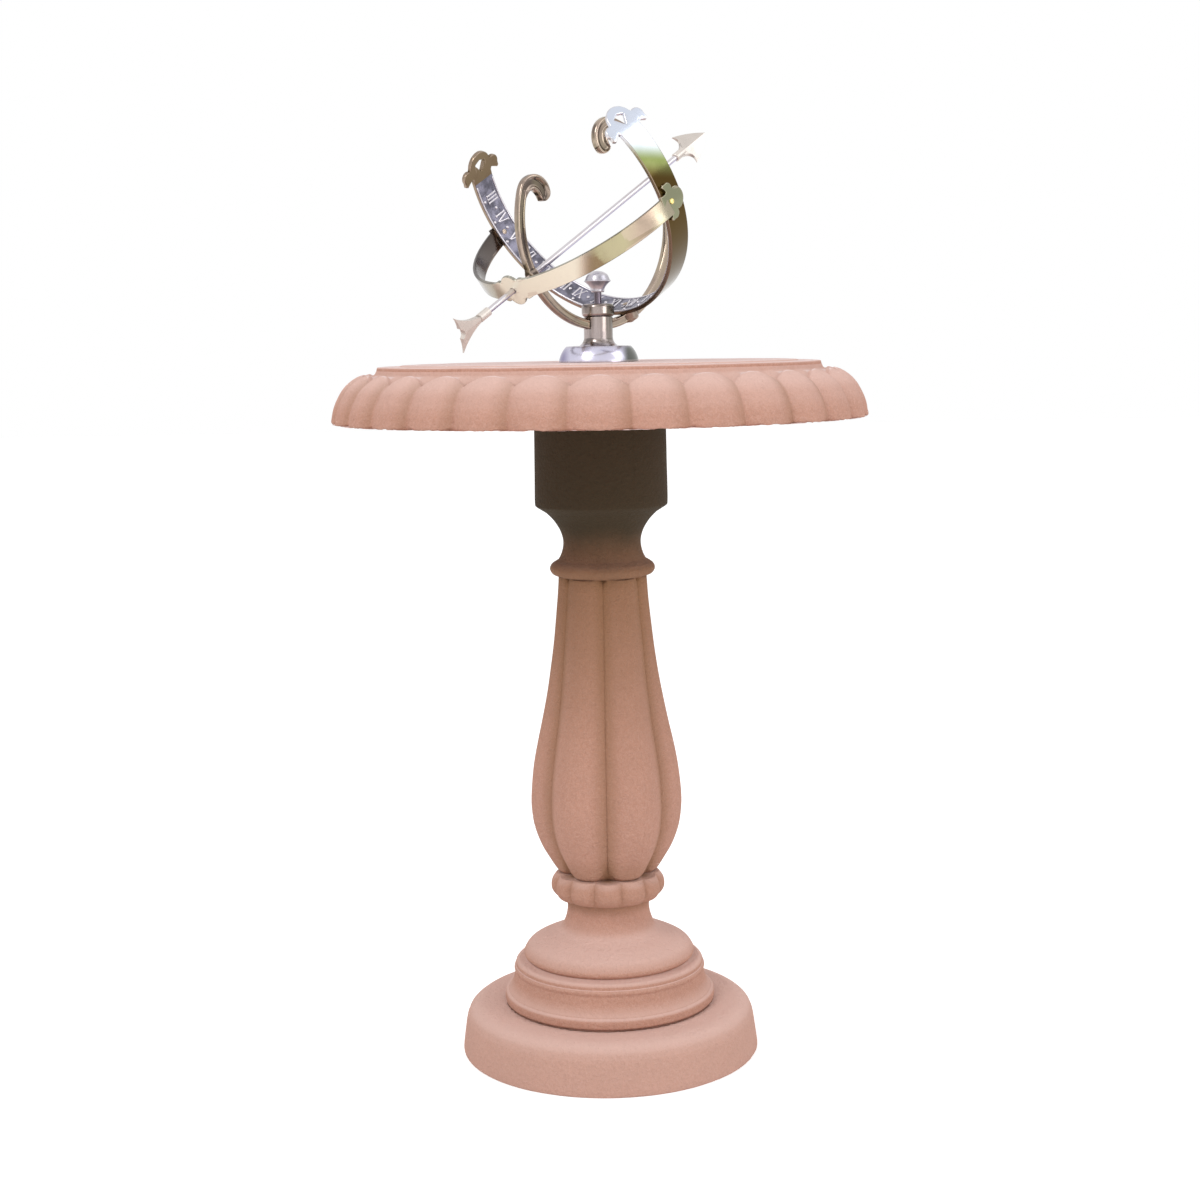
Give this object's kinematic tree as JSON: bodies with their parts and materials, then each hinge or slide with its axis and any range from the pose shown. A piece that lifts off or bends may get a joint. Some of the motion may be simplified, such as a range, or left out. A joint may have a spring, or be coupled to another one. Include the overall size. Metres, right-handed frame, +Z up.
{
  "type": "garden sundial",
  "caption": "Garden sundial with a bronze armillary dial on a lobed cast stone baluster and a gadrooned round top.",
  "frame": {"origin": "on the ground at the centre of the plinth", "axes": "+Z up; the armillary stands on the table with its gnomon at a slope of 31.2 degrees, bearing 46.5 degrees from +Y towards +X"},
  "size_m": [0.5198, 0.5218, 0.9217],
  "materials": {
    "cast_stone": "matte cast stone, terracotta pink",
    "mortar": "rough mortar",
    "steel": "brushed",
    "bronze": "polished bronze, lightly patinated",
    "brass_pins": "bright brass"
  },
  "bodies": {
    "pedestal": {"plinth": "cast_stone", "plinth_mortar": "mortar", "base_dowel": "steel", "baluster": "cast_stone", "table_mortar": "mortar", "table_top": "cast_stone", "stud_washer": "steel", "stud_nut": "steel"},
    "foot": {"dial_foot": "bronze", "clamp_cap": "bronze", "dial_stud": "steel"},
    "pad": {"pressure_pad": "bronze"},
    "screw": {"clamp_screw": "steel", "clamp_knob": "bronze"},
    "armillary": {"meridian_ring": "bronze", "hour_band": "bronze", "crossing_rivet": "bronze", "brace_hoop": "bronze", "hoop_rivets": "brass_pins", "gnomon_rod": "bronze", "gnomon_set_screw": "brass_pins", "arrow_head": "bronze", "arrow_tail": "bronze"}
  },
  "joints": [
    {"name": "foot_swivel", "type": "hinge", "parent": "pedestal", "child": "foot", "pos_m": [0, 0, 0.688], "axis": [0, 0, 1], "continuous": true},
    {"name": "pad_travel", "type": "slide", "parent": "foot", "child": "pad", "axis": [0, 0, 1], "range_m": [0, 0.005]},
    {"name": "screw_turn", "type": "hinge", "parent": "pad", "child": "screw", "pos_m": [0, 0, 0.75], "axis": [0, 0, 1], "range_deg": [0, 1442]},
    {"name": "ring_tilt", "type": "hinge", "parent": "foot", "child": "armillary", "pos_m": [0, 0, 0.821], "axis": [0.6884, -0.7254, 0], "range_deg": [-6, 3]}
  ],
  "couplings": [
    {"joint": "screw_turn", "follows": "pad_travel", "rad_per_m": 5026.5}
  ]
}
